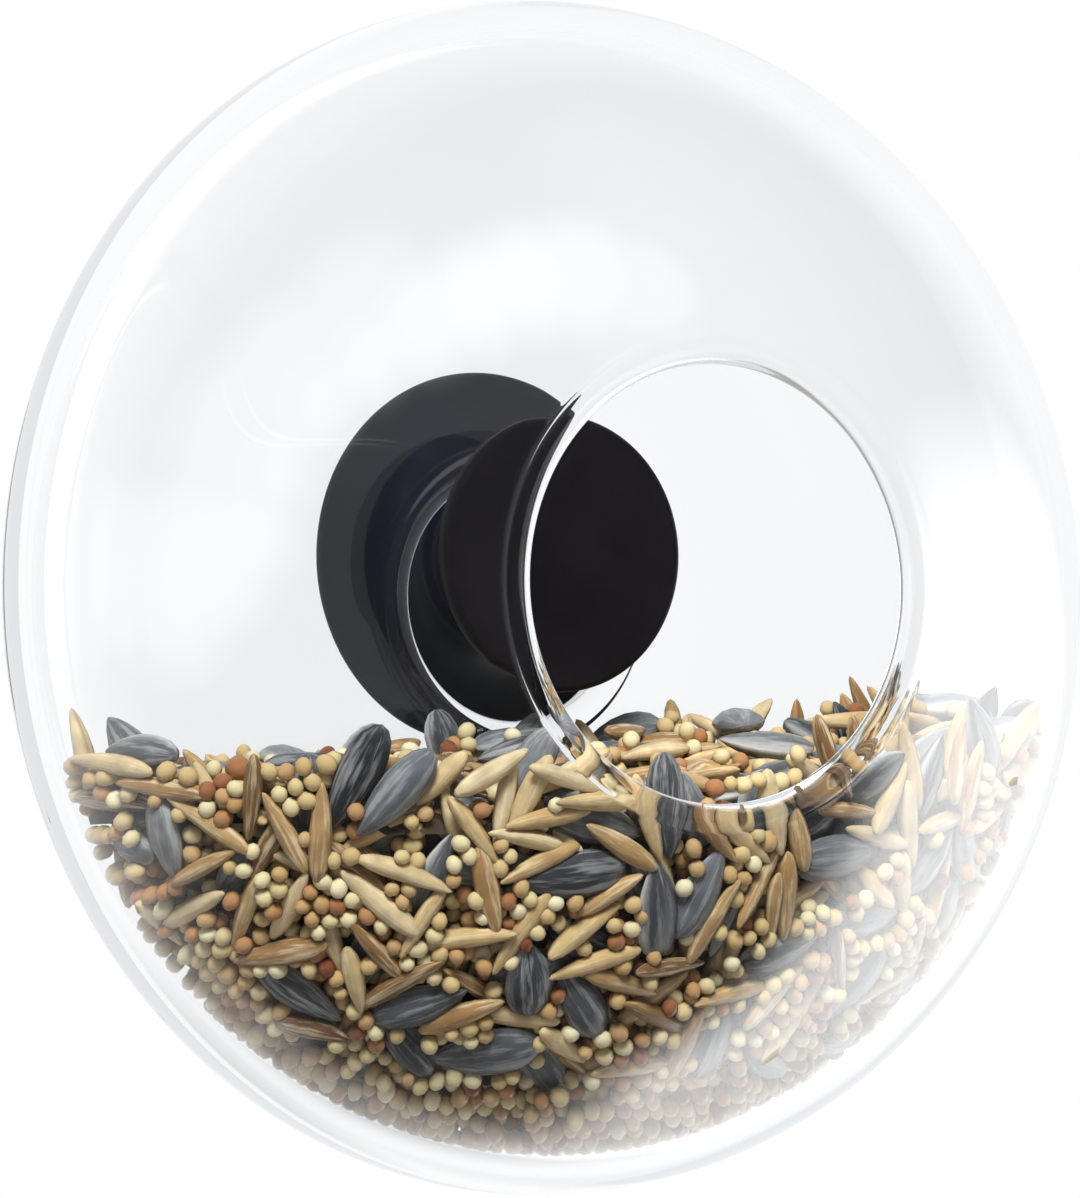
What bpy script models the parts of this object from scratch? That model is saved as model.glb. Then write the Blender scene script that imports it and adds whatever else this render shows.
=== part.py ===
"""Window bird feeder: a blown glass globe that hangs on the neck of a rubber suction cup.

Metres, +Z up. The origin is on the cup's axis, in the plane of the window pane.
The pane is at Y = 0 and the feeder stands out from it towards -Y.
"""
import math
import random

import bmesh
import bpy
import numpy as np
from mathutils import Matrix, Vector
from mathutils.bvhtree import BVHTree

MM = 0.001

# Glass globe: the blown shell
GLOBE_RADIUS = 75.0 * MM
GLOBE_FRONT_DEPTH = 46.0 * MM
GLOBE_BACK_DEPTH = 14.3 * MM
WALL_AT_OPENING = 2.8 * MM
WALL_AT_WAIST = 3.9 * MM
WALL_AT_HOLE = 3.6 * MM
# The glass has run a little, so the bore of the shell sits off its centre.
BORE_SHIFT_X = 0.9 * MM
BORE_SHIFT_Z = 0.5 * MM

# Glass globe: the front opening, the hole at the back and the shallow dish round it
OPENING_RADIUS = 26.8 * MM
HOLE_RADIUS = 15.8 * MM
DISH_RADIUS = 52.0 * MM
DISH_RISE = 2.8 * MM
BACK_FULLNESS_SHARE = 2.6
DISH_BLEND_SHARE = 0.5

# Suction cup
CUP_RADIUS = 24.0 * MM
CUP_EDGE = 1.4 * MM
CUP_LAND = 2.6 * MM
CUP_HEIGHT = 7.7 * MM
SUCTION_HOLLOW = 2.8 * MM
NECK_RADIUS = 10.2 * MM
SEAT_WIDTH = 1.8 * MM
NECK_PLAY = 2.0 * MM
CUP_FLOOR = 2.2 * MM

# Retaining knob
KNOB_RADIUS = 17.4 * MM
KNOB_RIM = 2.4 * MM
KNOB_FLARE = 7.4 * MM
KNOB_EDGE_ROUND = 0.7 * MM
STEM_RADIUS = 5.0 * MM
STEM_CHAMFER = 0.8 * MM

# Seed fill
HEAP_UNDER_KNOB = 6.2 * MM
HEAP_UNDER_HOLE = 0.8 * MM
HEAP_UNDER_OPENING = 1.4 * MM
HEAP_TILT = math.radians(5.3)
HEAP_RIPPLE = 1.1 * MM
HEAP_RIPPLE_LENGTH = 13.0 * MM
HEAP_GRID = 3.8 * MM
# The grains that press on the glass make the heap's skin lumpy.
LUMP_HEIGHT = 2.7 * MM
LUMP_SPACING = 10.0 * MM
SUNFLOWER_LENGTH = 12.0 * MM
SUNFLOWER_WIDTH = 6.6 * MM
SUNFLOWER_THICKNESS = 3.6 * MM
SUNFLOWER_TAPER_SHARE = 0.45
OAT_LENGTH = 10.0 * MM
OAT_WIDTH = 3.0 * MM
OAT_THICKNESS = 2.6 * MM
OAT_TAPER_SHARE = 0.30
# Seeds that lie on the heap, row by row from the back of the globe to its front
SEEDS_PER_ROW = (8, 7, 5)
SEED_NUDGE = 0.4 * MM
SEED_PATTERN = 7

# Gaps and facets
SEAT_GAP = 0.3 * MM
BED_GAP = 0.45 * MM
CUT_OVERRUN = 5.0 * MM
MERGE_DISTANCE = 0.003 * MM
SMOOTH_ANGLE = math.radians(35)
KNOB_BACK_TURN = 60
GLASS_FACETS = 64
BED_FACETS = 96
BED_STEPS = 2
RUBBER_FACETS = 48
SEED_SIDES = 8
SEED_RINGS = 6
WALL_STEPS = 10
BEAD_STEPS = 5
CURVE_STEPS = 7
CORNER_STEPS = 3
CURVE_SAMPLES = 200

# Places that follow from the sizes above
GLOBE_DROP = HOLE_RADIUS - NECK_RADIUS - SEAT_GAP
HOLE_TO_WAIST = GLOBE_BACK_DEPTH - DISH_RISE
WAIST_HEIGHT = CUP_HEIGHT + SEAT_GAP + HOLE_TO_WAIST
NECK_END = CUP_HEIGHT + SEAT_GAP + WALL_AT_HOLE + NECK_PLAY
KNOB_FACE = NECK_END + SEAT_GAP + KNOB_FLARE + KNOB_RIM


def clear_scene():
    for obj in list(bpy.data.objects):
        bpy.data.objects.remove(obj, do_unlink=True)


def finish_material(name, colour, roughness, transmission=0.0):
    material = bpy.data.materials.new(name)
    material.use_nodes = True
    shader = material.node_tree.nodes["Principled BSDF"]
    shader.inputs["Base Color"].default_value = (*colour, 1.0)
    shader.inputs["Roughness"].default_value = roughness
    shader.inputs["Metallic"].default_value = 0.0
    shader.inputs["Transmission Weight"].default_value = transmission
    return material


def add_object(name, bm, material, parent=None):
    """Turns a closed bmesh into a named, smooth-shaded object."""
    bmesh.ops.recalc_face_normals(bm, faces=bm.faces)
    mesh = bpy.data.meshes.new(name)
    bm.to_mesh(mesh)
    bm.free()
    mesh.materials.append(material)
    mesh.shade_smooth()
    mesh.set_sharp_from_angle(angle=SMOOTH_ANGLE)
    obj = bpy.data.objects.new(name, mesh)
    bpy.context.collection.objects.link(obj)
    obj.parent = parent
    return obj


def arc(centre, radii, start, end, steps):
    """Points (radius, height) on an elliptical arc, both ends included."""
    angles = np.linspace(math.radians(start), math.radians(end), steps + 1)
    return [(centre[0] + radii[0] * math.cos(a), centre[1] + radii[1] * math.sin(a)) for a in angles]


def spin_profile(profile, facets, closed, weights=None):
    """Spins (radius, height) points about the Y axis; height runs from the pane towards -Y."""
    bm = bmesh.new()
    bore = bm.verts.layers.float.new("bore")
    verts = [bm.verts.new((radius, -height, 0.0)) for radius, height in profile]
    if weights is not None:
        for vert, weight in zip(verts, weights):
            vert[bore] = weight
    edges = [bm.edges.new(pair) for pair in zip(verts, verts[1:])]
    if closed:
        edges.append(bm.edges.new((verts[-1], verts[0])))
    bmesh.ops.spin(bm, geom=verts + edges, cent=(0, 0, 0), axis=(0, 1, 0), angle=math.tau,
                   steps=facets, use_merge=True)
    bmesh.ops.remove_doubles(bm, verts=bm.verts, dist=MERGE_DISTANCE)
    return bm


def shell_curve():
    """Outer skin of the globe as (radius, depth), and its normals, from opening to back hole.

    Depth is measured from the widest circle, positive to the front. The front is part of an
    ellipse, the back a fuller curve that dishes in round the hole.
    """
    front = np.linspace(math.pi / 2, 0.0, CURVE_SAMPLES)
    points = [(GLOBE_RADIUS * math.cos(a), GLOBE_FRONT_DEPTH * math.sin(a)) for a in front]
    power = 2.0 / BACK_FULLNESS_SHARE
    for angle in np.linspace(0.0, math.pi / 2, CURVE_SAMPLES)[1:]:
        radius = GLOBE_RADIUS * max(math.cos(angle), 0.0) ** power
        depth = -GLOBE_BACK_DEPTH * math.sin(angle) ** power
        share = min(max((DISH_RADIUS - radius) / (DISH_RADIUS - HOLE_RADIUS), 0.0), 1.0)
        rise = DISH_RISE * DISH_BLEND_SHARE * (1.0 - math.cos(math.pi * share))
        points.append((radius, depth + rise))
    points = np.array(points)
    tangents = np.gradient(points, axis=0)
    normals = np.stack([-tangents[:, 1], tangents[:, 0]], axis=1)
    normals /= np.linalg.norm(normals, axis=1)[:, None]
    return points, normals


def wall_thickness(points):
    """Wall of the shell along its curve: thin at the opening, thickest at the waist."""
    front = np.clip(points[:, 1] / GLOBE_FRONT_DEPTH, 0.0, 1.0)
    back = np.where(points[:, 1] < 0.0, 1.0 - points[:, 0] / GLOBE_RADIUS, 0.0)
    thin_front = (WALL_AT_WAIST - WALL_AT_OPENING) * front
    thin_back = (WALL_AT_WAIST - WALL_AT_HOLE) * back
    return WALL_AT_WAIST - thin_front - thin_back


def shell_wall(inset):
    """Outer points, inner points and bore weights between the two lips.

    The inner points lie one wall plus the inset inside the outer ones.
    """
    points, normals = shell_curve()
    wall = wall_thickness(points)
    clear = points[:, 0] - normals[:, 0] * wall / 2 - wall / 2
    waist = int(np.argmax(points[:, 0]))
    start = np.interp(OPENING_RADIUS, clear[:waist], np.arange(waist))
    back_order = np.arange(len(points) - 1, waist, -1)
    end = np.interp(HOLE_RADIUS, clear[back_order], back_order)
    front_marks = np.linspace(start, waist, WALL_STEPS)
    back_marks = np.linspace(waist, end, WALL_STEPS)[1:]
    marks = np.concatenate([front_marks, back_marks])
    index = np.arange(len(points))
    outer = np.stack([np.interp(marks, index, points[:, k]) for k in (0, 1)], axis=1)
    facing = np.stack([np.interp(marks, index, normals[:, k]) for k in (0, 1)], axis=1)
    facing /= np.linalg.norm(facing, axis=1)[:, None]
    depth = np.interp(marks, index, wall)
    inner = outer - facing * (depth + inset)[:, None]
    weights = np.sin(np.linspace(0.0, math.pi, len(marks)))
    return outer, inner, weights


def lip(outer_end, inner_end, steps):
    """Points of the fire-polished half round that joins the two skins."""
    centre = (outer_end + inner_end) / 2
    across = outer_end - centre
    along = np.array([across[1], -across[0]])
    if along[0] > 0.0:
        along = -along
    angles = np.linspace(0.0, math.pi, steps + 1)[1:-1]
    return [centre + across * math.cos(a) + along * math.sin(a) for a in angles]


def shift_bore(bm):
    """Moves the inner skin off centre, by its weight, and hangs the globe below the neck's axis."""
    bore = bm.verts.layers.float["bore"]
    for vert in bm.verts:
        vert.co.x += BORE_SHIFT_X * vert[bore]
        vert.co.z += BORE_SHIFT_Z * vert[bore] - GLOBE_DROP


def make_glass_globe(parent):
    """The blown shell, open at the front and at the back, with rounded lips."""
    outer, inner, weights = shell_wall(inset=0.0)
    front_lip = lip(inner[0], outer[0], BEAD_STEPS)
    back_lip = lip(outer[-1], inner[-1], BEAD_STEPS)
    profile = [*outer, *back_lip, *inner[::-1], *front_lip]
    bore = [0.0] * (len(outer) + len(back_lip)) + list(weights[::-1]) + [0.0] * len(front_lip)
    bm = spin_profile(profile, GLASS_FACETS, closed=True, weights=bore)
    shift_bore(bm)
    glass = finish_material("blown_glass", (0.93, 0.96, 0.97), 0.02, transmission=1.0)
    return add_object("glass_globe", bm, glass, parent)


def make_suction_cup(rubber):
    """The cup moulded in one with its seat and neck; the neck is bored for the knob's stem."""
    seat = NECK_RADIUS + SEAT_WIDTH
    edge = CUP_EDGE / 2
    hollow = CUP_RADIUS - edge - CUP_LAND
    bore = STEM_RADIUS + SEAT_GAP
    floor = SUCTION_HOLLOW + CUP_FLOOR
    bottom = arc((0.0, 0.0), (hollow, SUCTION_HOLLOW), 90, 0, CURVE_STEPS)
    rim = arc((CUP_RADIUS - edge, edge), (edge, edge), -90, 90, CORNER_STEPS * 2)
    flank = arc((CUP_RADIUS - edge, CUP_HEIGHT), (CUP_RADIUS - edge - seat, CUP_HEIGHT - CUP_EDGE),
                270, 180, CURVE_STEPS)[1:]
    neck = [(NECK_RADIUS, CUP_HEIGHT), (NECK_RADIUS, NECK_END)]
    socket = [(bore, NECK_END), (bore, floor), (0.0, floor)]
    bm = spin_profile([*bottom, *rim, *flank, *neck, *socket], RUBBER_FACETS, closed=False)
    return add_object("suction_cup", bm, rubber)


def make_retaining_knob(rubber):
    """A round button with a flat face, a flared underside and a stem pressed into the neck."""
    rounding = KNOB_EDGE_ROUND
    base = NECK_END + SEAT_GAP
    tip = SUCTION_HOLLOW + CUP_FLOOR + SEAT_GAP
    rim_back = base + KNOB_FLARE
    face = arc((KNOB_RADIUS - rounding, KNOB_FACE - rounding), (rounding, rounding), 90, 0, CORNER_STEPS)
    back = arc((KNOB_RADIUS - rounding, rim_back + rounding), (rounding, rounding),
               0, -KNOB_BACK_TURN, CORNER_STEPS)
    flare = [(NECK_RADIUS, base), (STEM_RADIUS, base)]
    stem = [(STEM_RADIUS, tip + STEM_CHAMFER), (STEM_RADIUS - STEM_CHAMFER, tip), (0.0, tip)]
    bm = spin_profile([(0.0, KNOB_FACE), *face, *back, *flare, *stem], RUBBER_FACETS, closed=False)
    return add_object("retaining_knob", bm, rubber)


def heap_height(x, depth):
    """Height of the heap's top, from the globe's axis, at a place inside the globe."""
    under_knob = KNOB_RADIUS - GLOBE_DROP + HEAP_UNDER_KNOB
    back = -max(under_knob, HOLE_RADIUS + HEAP_UNDER_HOLE)
    front = -max(OPENING_RADIUS + HEAP_UNDER_OPENING, -back)
    front_depth = GLOBE_FRONT_DEPTH * math.sqrt(1.0 - (OPENING_RADIUS / GLOBE_RADIUS) ** 2)
    share = min(max((depth + HOLE_TO_WAIST) / (front_depth + HOLE_TO_WAIST), 0.0), 1.0)
    slope = (front - back) * share ** 2
    wave = math.tau / HEAP_RIPPLE_LENGTH
    ripple = HEAP_RIPPLE * math.sin(wave * (x + depth)) * math.cos(wave * (x - depth) / 2)
    return back + slope + math.tan(HEAP_TILT) * x * (1.0 - share) + ripple - HEAP_RIPPLE


def make_air_block():
    """Cutter: everything in the globe above the heap."""
    reach = GLOBE_RADIUS + CUT_OVERRUN
    back = -(GLOBE_BACK_DEPTH + CUT_OVERRUN)
    front = GLOBE_FRONT_DEPTH + CUT_OVERRUN
    bm = bmesh.new()
    columns = int(2 * reach / HEAP_GRID) + 1
    rows = int((front - back) / HEAP_GRID) + 1
    bmesh.ops.create_grid(bm, x_segments=columns, y_segments=rows, size=1.0)
    for vert in bm.verts:
        x = vert.co.x * reach
        depth = back + (front - back) * (1.0 - vert.co.y) / 2
        vert.co = (x, -depth, heap_height(x, depth) - GLOBE_DROP)
    top = bmesh.ops.extrude_face_region(bm, geom=bm.faces[:])["geom"]
    for vert in top:
        if isinstance(vert, bmesh.types.BMVert):
            vert.co.z = GLOBE_RADIUS + CUT_OVERRUN
    bmesh.ops.recalc_face_normals(bm, faces=bm.faces)
    mesh = bpy.data.meshes.new("air_above_heap")
    bm.to_mesh(mesh)
    bm.free()
    block = bpy.data.objects.new("air_above_heap", mesh)
    bpy.context.collection.objects.link(block)
    block.hide_render = True
    block.display_type = "WIRE"
    return block


def press_grains(bm):
    """Sinks the heap's skin between the grains that press on the glass, but not at its top edge."""
    wave = math.tau / LUMP_SPACING
    bm.normal_update()
    facing = [vert.normal.copy() for vert in bm.verts]
    for vert, way in zip(bm.verts, facing):
        x, y, z = (wave * part for part in vert.co)
        lump = math.sin(x) * math.cos(z) + math.sin(z) * math.cos(y) + math.sin(y) * math.cos(x)
        under = heap_height(vert.co.x, -vert.co.y) - GLOBE_DROP - vert.co.z
        fade = min(max(under / LUMP_SPACING, 0.0), 1.0)
        vert.co -= way * LUMP_HEIGHT * fade * (1.0 + lump / 1.5) / 2


def make_seed_bed(parent, grain):
    """The body of the heap, lying against the inside of the shell."""
    _, inner, weights = shell_wall(inset=BED_GAP)
    marks = np.arange(len(inner))
    finer = np.linspace(0, marks[-1], BED_STEPS * marks[-1] + 1)
    radii, depths, weights = (np.interp(finer, marks, run) for run in (*inner.T, weights))
    profile = [(0.0, depths[0]), *zip(radii, depths), (0.0, depths[-1])]
    bm = spin_profile(profile, BED_FACETS, closed=False, weights=[0.0, *weights, 0.0])
    shift_bore(bm)
    bmesh.ops.recalc_face_normals(bm, faces=bm.faces)
    press_grains(bm)
    bed = add_object("seed_bed", bm, grain, parent)
    block = make_air_block()
    block.parent = parent
    cut = bed.modifiers.new("level", "BOOLEAN")
    cut.operation = "DIFFERENCE"
    cut.solver = "EXACT"
    cut.object = block
    return bed


def corners_and_tree(obj):
    """Corners of an object's evaluated mesh, in its parent's space, and their search tree."""
    graph = bpy.context.evaluated_depsgraph_get()
    mesh = obj.evaluated_get(graph).to_mesh()
    verts = [vert.co.copy() for vert in mesh.vertices]
    mesh.calc_loop_triangles()
    faces = [tuple(triangle.vertices) for triangle in mesh.loop_triangles]
    return verts, BVHTree.FromPolygons(verts, faces)


def seed_mesh(length, width, thickness, taper_share):
    """A grain along X: round in section, blunt at one end and pointed at the other."""
    bm = bmesh.new()
    bmesh.ops.create_uvsphere(bm, u_segments=SEED_SIDES, v_segments=SEED_RINGS, radius=1.0)
    bmesh.ops.rotate(bm, verts=bm.verts, matrix=Matrix.Rotation(math.pi / 2, 3, "Y"))
    for vert in bm.verts:
        taper = 1.0 - taper_share * (1.0 + vert.co.x) / 2
        vert.co = (vert.co.x * length / 2, vert.co.y * taper * width / 2, vert.co.z * taper * thickness / 2)
    return bm


def reach_of_heap(bed_tree, depth, way_x, way_depth):
    """How far the heap's top goes from its middle line to its edge, one way, just under the surface."""
    ends = []
    for share in (0.0, 0.5):
        x = share * way_x * GLOBE_RADIUS
        along = depth + share * way_depth * GLOBE_FRONT_DEPTH
        ends.append(Vector((x, -along, heap_height(x, along) - GLOBE_DROP - 2 * HEAP_RIPPLE)))
    hit = bed_tree.ray_cast(ends[0], ends[1] - ends[0])
    return (hit[0] - ends[0]).xy.length


def seat_seed(bm, x, depth, middle, turn, heap, glass_tree):
    """Turns a grain, lays it along the heap and drops it until it all but touches.

    A grain that would stick out over the heap's edge, or touch the glass, lies nearer the middle.
    """
    bed_corners, bed_tree = heap
    step = HEAP_GRID
    rise_x = (heap_height(x + step, depth) - heap_height(x - step, depth)) / (2 * step)
    rise_y = (heap_height(x, depth - step) - heap_height(x, depth + step)) / (2 * step)
    normal = Vector((-rise_x, -rise_y, 1.0)).normalized()
    tilt = normal.to_track_quat("Z", "Y").to_matrix()
    bmesh.ops.rotate(bm, verts=bm.verts, matrix=tilt @ Matrix.Rotation(turn, 3, "Z"))
    bmesh.ops.translate(bm, verts=bm.verts, vec=(x, -depth, GLOBE_RADIUS))
    inward = Vector((-x, depth - middle, 0.0)).normalized() * SEED_NUDGE
    while True:
        points = [vert.co for vert in bm.verts] + [face.calc_center_median() for face in bm.faces]
        drops = [bed_tree.ray_cast(point, Vector((0, 0, -1)))[3] for point in points]
        if None not in drops:
            seed_tree = BVHTree.FromBMesh(bm)
            rises = [seed_tree.ray_cast(corner, Vector((0, 0, 1)))[3] for corner in bed_corners]
            drops += [rise for rise in rises if rise is not None]
            fall = Vector((0, 0, BED_GAP - min(drops)))
            gaps = [glass_tree.find_nearest(point + fall)[3] for point in points]
            if min(gaps) > 2 * SEAT_GAP:
                bmesh.ops.translate(bm, verts=bm.verts, vec=fall)
                return
        bmesh.ops.translate(bm, verts=bm.verts, vec=inward)


def make_seeds(parent, bed, glass, husk, oat):
    """Sunflower seeds and oat grains in staggered rows that share out the heap's top."""
    heap = corners_and_tree(bed)
    glass_tree = corners_and_tree(glass)[1]
    draw = random.Random(SEED_PATTERN)
    front = reach_of_heap(heap[1], 0.0, 0, 1)
    back = reach_of_heap(heap[1], 0.0, 0, -1)
    counts = {"sunflower_seed": 0, "oat_grain": 0}
    for row, columns in enumerate(SEEDS_PER_ROW):
        depth = (front + back) * (row + 0.5) / len(SEEDS_PER_ROW) - back
        right = reach_of_heap(heap[1], depth, 1, 0)
        left = reach_of_heap(heap[1], depth, -1, 0)
        for column in range(columns):
            x = (right + left) * (column + 0.5) / columns - left
            turn = draw.uniform(0.0, math.tau)
            if (row + column) % 2:
                name, material = "sunflower_seed", husk
                bm = seed_mesh(SUNFLOWER_LENGTH, SUNFLOWER_WIDTH, SUNFLOWER_THICKNESS, SUNFLOWER_TAPER_SHARE)
            else:
                name, material = "oat_grain", oat
                bm = seed_mesh(OAT_LENGTH, OAT_WIDTH, OAT_THICKNESS, OAT_TAPER_SHARE)
            seat_seed(bm, x, depth, (front - back) / 2, turn, heap, glass_tree)
            counts[name] += 1
            add_object(f"{name}_{counts[name]:02d}", bm, material, parent)


def build():
    clear_scene()
    pivot = bpy.data.objects.new("globe_pivot", None)
    bpy.context.collection.objects.link(pivot)
    pivot.location = (0.0, -WAIST_HEIGHT, 0.0)
    rubber = finish_material("black_rubber", (0.02, 0.021, 0.024), 0.55)
    hard_rubber = finish_material("black_knob", (0.022, 0.02, 0.021), 0.42)
    grain = finish_material("mixed_grain", (0.45, 0.32, 0.18), 0.8)
    husk = finish_material("striped_husk", (0.12, 0.12, 0.13), 0.6)
    oat = finish_material("oat_husk", (0.62, 0.43, 0.2), 0.65)
    glass = make_glass_globe(pivot)
    make_suction_cup(rubber)
    make_retaining_knob(hard_rubber)
    bed = make_seed_bed(pivot, grain)
    make_seeds(pivot, bed, glass, husk, oat)


build()
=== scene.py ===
import math

import bpy
import numpy as np
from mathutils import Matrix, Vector
from mathutils.bvhtree import BVHTree
from mathutils.kdtree import KDTree


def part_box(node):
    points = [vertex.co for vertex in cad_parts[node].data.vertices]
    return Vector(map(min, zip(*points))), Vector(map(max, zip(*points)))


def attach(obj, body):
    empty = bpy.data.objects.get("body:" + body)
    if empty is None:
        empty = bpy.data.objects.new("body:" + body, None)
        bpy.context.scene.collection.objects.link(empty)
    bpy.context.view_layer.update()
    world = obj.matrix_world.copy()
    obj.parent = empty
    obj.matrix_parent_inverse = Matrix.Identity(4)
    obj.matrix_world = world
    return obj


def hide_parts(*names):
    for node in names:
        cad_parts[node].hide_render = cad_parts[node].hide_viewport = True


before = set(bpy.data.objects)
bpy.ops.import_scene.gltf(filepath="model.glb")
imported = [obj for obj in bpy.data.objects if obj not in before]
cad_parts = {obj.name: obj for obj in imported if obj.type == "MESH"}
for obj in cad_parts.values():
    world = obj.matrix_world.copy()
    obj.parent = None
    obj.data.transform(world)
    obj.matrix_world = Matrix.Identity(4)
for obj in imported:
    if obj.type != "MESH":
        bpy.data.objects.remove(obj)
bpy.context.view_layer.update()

MM = 0.001

# The glass globe is one bubble of clear soda glass, blown and then flattened against a plate. The wall
# is thickest at the waist, the bore has run a little off centre, and the lips of both holes are melted
# round in a flame. The globe hangs by the hole at its back on the neck of the suction cup.
globe_low, globe_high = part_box("glass_globe")
GLOBE_RADIUS = (globe_high.x - globe_low.x) / 2
GLOBE_AXIS_Z = (globe_high.z + globe_low.z) / 2
WAIST_Y = -19.5 * MM
FRONT_DEPTH = 46.0 * MM
BACK_DEPTH = 14.3 * MM
WALL_AT_OPENING = 2.8 * MM
WALL_AT_WAIST = 3.9 * MM
WALL_AT_HOLE = 3.6 * MM
BORE_SHIFT = np.array([0.9, 0.5]) * MM
OPENING_RADIUS = 26.8 * MM
HOLE_RADIUS = 15.8 * MM
DISH_RADIUS = 52.0 * MM
DISH_RISE = 2.8 * MM
BACK_FULLNESS = 2.6

# The flame swells the wall at a lip by a bead and leaves a shallow groove on the skin behind it.
LIP_ROLL = 1.5 * MM
LIP_REACH = 1.6 * LIP_ROLL
LIP_SWELL = 0.4 * MM
BEAD_START = 0.55 * LIP_ROLL
BEAD_FADE = 0.75 * LIP_ROLL
LIP_GROOVE = 0.08 * MM
GROOVE_AT = 1.15 * LIP_ROLL
GROOVE_WIDTH = 0.22 * LIP_ROLL

SKIN_MARKS = 400
WALL_MARKS = 30
LIP_MARKS = 12
GLASS_STEPS = 160
ON_AXIS = 0.001 * MM
WELD = 0.004 * MM
WALL_REFLECTIONS = 2.5


def blown_wall(marks):
    """Outer skin, bore, inward normals and share of the bore's shift, as radius and depth from the waist."""
    angles = np.linspace(math.pi / 2, 0.0, SKIN_MARKS)
    front = np.stack([GLOBE_RADIUS * np.cos(angles), FRONT_DEPTH * np.sin(angles)], axis=1)
    angles = np.linspace(0.0, math.pi / 2, SKIN_MARKS)[1:]
    radius = GLOBE_RADIUS * np.maximum(np.cos(angles), 0.0) ** (2.0 / BACK_FULLNESS)
    depth = -BACK_DEPTH * np.sin(angles) ** (2.0 / BACK_FULLNESS)
    dish = np.clip((DISH_RADIUS - radius) / (DISH_RADIUS - HOLE_RADIUS), 0.0, 1.0)
    depth = depth + DISH_RISE * 0.5 * (1.0 - np.cos(math.pi * dish))
    skin = np.concatenate([front, np.stack([radius, depth], axis=1)])
    run = np.gradient(skin, axis=0)
    facing = np.stack([-run[:, 1], run[:, 0]], axis=1)
    facing /= np.linalg.norm(facing, axis=1)[:, None]
    thin_front = (WALL_AT_WAIST - WALL_AT_OPENING) * np.clip(skin[:, 1] / FRONT_DEPTH, 0.0, 1.0)
    thin_back = np.where(skin[:, 1] < 0.0, 1.0 - skin[:, 0] / GLOBE_RADIUS, 0.0)
    wall = WALL_AT_WAIST - thin_front - (WALL_AT_WAIST - WALL_AT_HOLE) * thin_back

    # The wall runs from lip to lip, so each lip's inmost point has the radius of its hole.
    inmost = skin[:, 0] - facing[:, 0] * wall / 2 - wall / 2
    waist = int(np.argmax(skin[:, 0]))
    start = np.interp(OPENING_RADIUS, inmost[:waist], np.arange(waist))
    back = np.arange(len(skin) - 1, waist, -1)
    end = np.interp(HOLE_RADIUS, inmost[back], back)
    index = np.arange(len(skin))
    along = np.concatenate([[0.0], np.cumsum(np.linalg.norm(np.diff(skin, axis=0), axis=1))])
    first, middle, last = (np.interp(spot, index, along) for spot in (start, waist, end))
    at = np.concatenate([np.linspace(first, first + LIP_REACH, LIP_MARKS)[:-1],
                         np.linspace(first + LIP_REACH, middle, marks)[:-1],
                         np.linspace(middle, last - LIP_REACH, marks)[:-1],
                         np.linspace(last - LIP_REACH, last, LIP_MARKS)])
    from_lip = np.minimum(at - first, last - at)
    bead = np.clip(1.0 - (from_lip - BEAD_START) / BEAD_FADE, 0.0, 1.0)
    bead = bead * bead * (3.0 - 2.0 * bead) * LIP_SWELL
    groove = LIP_GROOVE * np.exp(-((from_lip - GROOVE_AT) / GROOVE_WIDTH) ** 2)
    shift_share = np.sin(math.pi * (at - first) / (last - first))

    at = np.interp(at, along, index)
    outer = np.stack([np.interp(at, index, skin[:, k]) for k in (0, 1)], axis=1)
    outward = np.stack([np.interp(at, index, facing[:, k]) for k in (0, 1)], axis=1)
    outward /= np.linalg.norm(outward, axis=1)[:, None]
    bore = outer - outward * (np.interp(at, index, wall) + bead)[:, None]
    outer = outer - outward * groove[:, None]
    return outer, bore, -outward, shift_share


def melted_lip(first, last):
    """The half round that a flame leaves between two skins of the wall."""
    centre = (first + last) / 2
    across = first - centre
    along = np.array([across[1], -across[0]])
    along *= -np.sign(along[0])
    angles = np.linspace(0.0, math.pi, LIP_MARKS + 1)[1:-1]
    return centre + np.outer(np.cos(angles), across) + np.outer(np.sin(angles), along)


def turn_about_y(name, outline, steps, axis_z, bore_share=None):
    """A piece turned about the Y axis from the closed outline of its wall, in radius and height."""
    bpy.ops.object.select_all(action="DESELECT")
    bpy.ops.mesh.primitive_circle_add(vertices=len(outline), radius=GLOBE_RADIUS)
    piece = bpy.context.object
    piece.name = piece.data.name = name
    for vertex, (radius, height) in zip(piece.data.vertices, outline):
        vertex.co = (radius, -height, axis_z)
    if bore_share is not None:
        share = piece.data.attributes.new("bore_share", "FLOAT", "POINT")
        share.data.foreach_set("value", bore_share)
    bpy.ops.object.mode_set(mode="EDIT")
    bpy.ops.mesh.select_mode(type="EDGE")
    bpy.ops.mesh.select_all(action="DESELECT")
    bpy.ops.object.mode_set(mode="OBJECT")
    spots = piece.data.vertices
    for edge in piece.data.edges:
        edge.select = all(abs(spots[v].co.x) < ON_AXIS for v in edge.vertices)
    bpy.ops.object.mode_set(mode="EDIT")
    bpy.ops.mesh.delete(type="EDGE")
    bpy.ops.mesh.select_all(action="SELECT")
    bpy.ops.mesh.spin(steps=steps, angle=math.tau, center=(0.0, 0.0, axis_z), axis=(0.0, 1.0, 0.0))
    bpy.ops.mesh.select_all(action="SELECT")
    bpy.ops.mesh.remove_doubles(threshold=WELD)
    bpy.ops.mesh.normals_make_consistent(inside=False)
    bpy.ops.object.mode_set(mode="OBJECT")
    return piece


def new_finish(name):
    """A new material and the tree of its nodes."""
    finish = bpy.data.materials.new(name)
    finish.use_nodes = True
    return finish, finish.node_tree


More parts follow.
